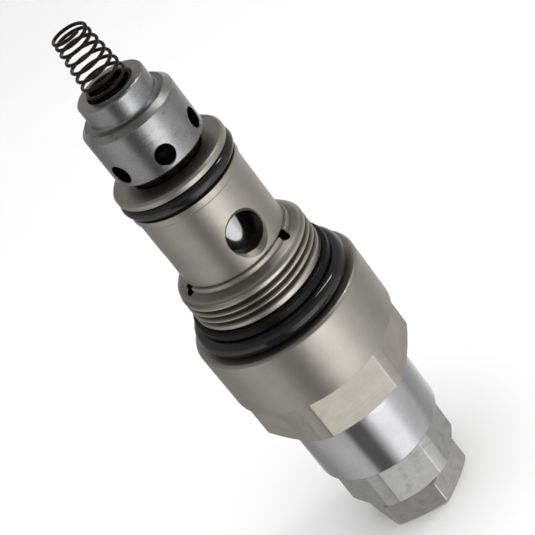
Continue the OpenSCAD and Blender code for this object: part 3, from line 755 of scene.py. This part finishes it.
def rubber():
    """Oiled black nitrile rubber: glossy, with faint waves and a few dust specks."""
    material, g, at = new_material("nitrile_black")
    waves = g.noise(at, 0.8, 3)
    pores = g.noise(at, 14, 2)
    dust = g.rise(g.noise(at, 5, 2, 0.8), 0.76, 0.82)
    colour = g.mix(g.math("MULTIPLY", dust, 0.3), (0.0035, 0.0035, 0.0045, 1), (0.12, 0.11, 0.1, 1))
    rough = g.rise(waves, 0.3, 0.7, 0.07, 0.13)
    normal = g.bump(pores, 0.0003 * MM, 0.4, g.bump(waves, 0.006 * MM, 0.4))
    close_material(g, {"Base Color": colour, "Roughness": rough, "Normal": normal,
                       "Specular IOR Level": 0.9})
    return material


def hard_plastic():
    material, g, at = new_material("backup_ring_black")
    cloud = g.noise(at, 1.2, 4)
    colour = g.mix(cloud, (0.003, 0.003, 0.003, 1), (0.008, 0.007, 0.006, 1))
    rough = g.rise(cloud, 0.3, 0.7, 0.2, 0.3)
    normal = g.bump(g.noise(g.scaled(at, 0.5, 0.5, 10), 1, 3), 0.02 * MM, 0.6)
    close_material(g, {"Base Color": colour, "Roughness": rough, "Normal": normal,
                       "Specular IOR Level": 0.2})
    return material


# ---------------------------------------------------------------- object

plated = turned_metal("plated_turned", (0.63, 0.60, 0.53, 1), (0.54, 0.515, 0.455, 1), 0.4, 0.010,
                      stretch=0.25, thread_painted_light=True)
plated_flat = milled_metal("plated_milled", (0.73, 0.69, 0.61, 1), (0.6, 0.57, 0.5, 1), 0.42,
                           marks=0.03)
ground = turned_metal("ground_steel", (0.5, 0.5, 0.505, 1), (0.32, 0.322, 0.328, 1), 0.3, 0.012,
                      stretch=0.35, stain=0.5)
faced = turned_metal("ground_faces", (0.68, 0.675, 0.66, 1), (0.44, 0.435, 0.42, 1), 0.36, 0.02,
                     stretch=0.2, stain=0.4)
polished = turned_metal("polished_shank", (0.62, 0.62, 0.63, 1), (0.55, 0.55, 0.56, 1), 0.12, 0.002,
                        stretch=0.3)
bright = turned_metal("bright_turned", (0.75, 0.75, 0.762, 1), (0.66, 0.66, 0.672, 1), 0.16, 0.008,
                      stretch=0.5)
bright_flat = milled_metal("bright_milled", (0.75, 0.75, 0.73, 1), (0.63, 0.63, 0.61, 1), 0.42,
                           marks=0.02, stain=0.5)
nut_flat = milled_metal("nut_dull", (0.76, 0.745, 0.70, 1), (0.62, 0.605, 0.57, 1), 0.48, marks=0.015,
                        stain=0.5)
screw_metal = turned_metal("screw_zinc", (0.5, 0.5, 0.52, 1), (0.4, 0.4, 0.42, 1), 0.35, 0.02)
recess_shade = recess_shade_metal()
wire = wire_metal()
black_rubber = rubber()
black_plastic = hard_plastic()
plug_brass = brass()


def is_flat(centre, normal, af, below):
    """Tells whether a face lies on one of six milled flats."""
    off_plane = abs(centre.x * normal.x + centre.y * normal.y - af / 2)
    return centre.z < below and abs(normal.z) < 0.1 and off_plane < 0.03


def radius_of(centre):
    return math.hypot(centre.x, centre.y)


def spool_finish(centre, normal):
    """0 ground outside, 1 painted shade in the holes and bores, on the shank's neck, under the head and on
    the other inner faces, 2 polished shank, 3 faces of the nose.
    """
    r, z = radius_of(centre), centre.z
    above_holes, fillet_edge_r, bore_lip_r = z > 43, 8.05, 5
    on_fillet = r < fillet_edge_r and z < NOSE_Z - 1
    if above_holes and normal.z > 0.3 and not on_fillet:
        return 3
    if z > NOSE_Z - 0.3 or (above_holes and r > bore_lip_r) or r > HEAD_R - 0.24:
        return 0
    on_shank = r > SPOOL_R - 0.05 and 3 < z < SLEEVE_FRONT - 1
    # Faces left over get 1, the painted shade; the polished shank gets 2.
    return 2 if on_shank else 1


def sleeve_finish(centre, _):
    """1 for painted shade on the bore and the walls of the flow ports, 0 elsewhere."""
    r, z = radius_of(centre), centre.z
    in_port = r < SLEEVE_WALL_R - PORT_MOUTH and abs(z - PORT_Z) < PORT_D / 2 + 0.01
    return int(in_port or r < SPOOL_R + 0.1)


def body_finish(centre, normal):
    """1 for milled flats, 2 for painted shade in the bores and drain holes, 0 elsewhere."""
    if is_flat(centre, normal, HEX_AF, -FLANGE_H):
        return 1
    r, z = radius_of(centre), centre.z
    climb = (z - SEAT_SHOULDER_Z) / (CONE_TOP_Z - SEAT_SHOULDER_Z)
    drain_r = DRAIN_FOOT_R + climb * (DRAIN_TOP_R - DRAIN_FOOT_R)
    turn = math.degrees(math.atan2(centre.x, -centre.y)) - DRAIN_TURN
    off = math.radians((turn + DRAIN_STEP / 2) % DRAIN_STEP - DRAIN_STEP / 2)
    in_drain = math.hypot(r * math.sin(off), r * math.cos(off) - drain_r) < DRAIN_R + 0.03
    return 2 if r < 9.7 or in_drain else 0


def build_object():
    paint(valve_body(), [plated, plated_flat, recess_shade], body_finish)
    paint(sleeve(), [plated, recess_shade], sleeve_finish)
    paint(spool(), [ground, recess_shade, polished, faced], spool_finish)
    paint(housing(), [bright, bright_flat], lambda centre, _: int(centre.z < CYLINDER_END + 0.01))
    paint(lock_nut(), [nut_flat])
    paint(adjusting_screw(), [screw_metal])
    for spring in springs():
        paint(spring, [wire])
    paint(o_ring("sleeve_seal_ring", "sleeve_o_ring", SLEEVE_SEAL_D), [black_rubber])
    paint(o_ring("flange_seal_ring", "flange_o_ring", FLANGE_SEAL_D), [black_rubber])
    paint(backup_ring(), [black_plastic])


def finish_cad_nodes():
    """Materials of the inner pieces that keep their CAD shape."""
    finishes = {
        "orifice_plug": plug_brass, "spool_retaining_ring": wire, "pilot_seat": ground,
        "pilot_seat_o_ring": black_rubber, "pilot_poppet": ground, "pilot_spring_shim": ground,
        "spring_seat": ground, "spring_seat_o_ring": black_rubber, "housing_o_ring": black_rubber,
        "lock_nut_seal": black_rubber,
    }
    for node, material in finishes.items():
        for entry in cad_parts[node].material_slots:
            entry.material = material


# ---------------------------------------------------------------- stage

def floor():
    """Pale plane under the nut. Glossy rays pass it, so the metal mirrors the studio all round."""
    half, z = 3.0, NUT_LOW * MM
    bm = bmesh.new()
    corners = [(-half, -half, z), (half, -half, z), (half, half, z), (-half, half, z)]
    bm.faces.new([bm.verts.new(c) for c in corners])
    piece = to_piece("floor", bm)
    material, g, at = new_material("pale_floor")
    colour = g.mix(g.noise(at, 0.01, 3), (0.88, 0.88, 0.88, 1), (0.92, 0.92, 0.92, 1))
    close_material(g, {"Base Color": colour, "Roughness": 0.8, "Specular IOR Level": 0.1})
    piece.data.materials.append(material)
    piece.visible_glossy = False
    piece.visible_shadow = False


def overhead():
    """Large soft panel above that lights the floor; the metal does not mirror it."""
    data = bpy.data.lights.new("overhead", "AREA")
    data.shape = "DISK"
    data.size = 1.2
    data.energy = 10.5
    light = bpy.data.objects.new("overhead", data)
    light.location = (0.1, -0.1, 0.8)
    light.visible_glossy = False
    bpy.context.scene.collection.objects.link(light)


def patch(g, azimuth, elevation, centre, half, height, half_height, soft, strength):
    """A soft-edged lit panel: its middle azimuth and elevation, half sizes and strength."""
    across = g.band(azimuth, centre - half, centre + half, soft)
    up = g.band(elevation, height - half_height, height + half_height, soft)
    return g.math("MULTIPLY", g.math("MULTIPLY", across, up), strength)


def studio():
    """A light tent: soft panels and dark gaps round the object, by azimuth from the front."""
    world = bpy.data.worlds.new("studio")
    bpy.context.scene.world = world
    world.use_nodes = True
    g = Graph(world.node_tree)
    x, y, z = g.split(g.node("ShaderNodeTexCoord").outputs["Generated"])
    azimuth = g.math("DEGREES", g.math("ARCTAN2", x, g.math("MULTIPLY", y, -1.0)))
    elevation = g.math("DEGREES", g.math("ARCSINE", z))

    ramp = g.node("ShaderNodeValToRGB")
    # Azimuth in degrees and brightness of the tent at and below eye level
    tent = [(-180, 0.85), (-166, 0.55), (-150, 0.26), (-122, 0.28), (-96, 0.42), (-70, 0.52), (-47, 0.48),
            (-43, 0.1), (-16, 0.1), (-5, 0.5), (8, 1.05), (33, 1.15), (46, 0.72), (62, 0.55),
            (82, 0.5), (92, 0.32), (112, 0.38), (128, 0.44), (146, 0.62), (162, 0.8), (180, 0.85)]
    stops = ramp.color_ramp.elements
    for i, (angle, light) in enumerate(tent):
        at = (angle + 180) / 360
        stop = stops[i] if i < 2 else stops.new(at)
        stop.position = at
        stop.color = grey(light)
    g.put(ramp.inputs[0], g.math("DIVIDE", g.math("ADD", azimuth, 180.0), 360.0))

    side = g.band(azimuth, 62, 150, 20)
    upper = g.mix(side, grey(0.24), grey(0.28))
    roof = g.mix(g.rise(elevation, 38, 66), upper, grey(0.09))
    tent_light = g.mix(g.rise(elevation, -4, 16), ramp.outputs[0], roof)
    key = patch(g, azimuth, elevation, centre=14, half=15, height=-21, half_height=1.2, soft=1,
                strength=6.5)
    window = patch(g, azimuth, elevation, centre=92, half=2.5, height=54, half_height=14, soft=1,
                   strength=13.0)
    panels = g.math("ADD", key, window)
    lit = g.node("ShaderNodeVectorMath", {0: tent_light, 1: panels}, operation="ADD").outputs[0]
    background = g.node("ShaderNodeBackground", {"Color": lit, "Strength": 1.0})
    g.node("ShaderNodeOutputWorld", {"Surface": background.outputs[0]})


def camera():
    """Long lens from the front, above, rolled so that the nose points up and to the left."""
    elevation, roll = math.radians(30.58), math.radians(37.8)
    right = Vector((1, 0, 0))
    up = Vector((0, math.sin(elevation), math.cos(elevation)))
    ahead = right.cross(up) * -1
    aim = Vector((0, 0, 18.05)) * MM
    distance, shift_right, shift_up = 325.03, -2.318, 10.72
    offset = (shift_right * right + shift_up * up + distance * ahead) * MM
    data = bpy.data.cameras.new("camera")
    data.lens = 122.7
    data.sensor_width = 36
    data.clip_start, data.clip_end = 0.01, 20
    view = bpy.data.objects.new("camera", data)
    bpy.context.scene.collection.objects.link(view)
    rolled_right = right * math.cos(roll) - up * math.sin(roll)
    rolled_up = right * math.sin(roll) + up * math.cos(roll)
    turn = Matrix((rolled_right, rolled_up, -ahead)).transposed()
    view.matrix_world = Matrix.Translation(aim - offset) @ turn.to_4x4()
    bpy.context.scene.camera = view


build_object()
finish_cad_nodes()
floor()
overhead()
studio()
camera()
bpy.context.scene.view_settings.view_transform = "Standard"
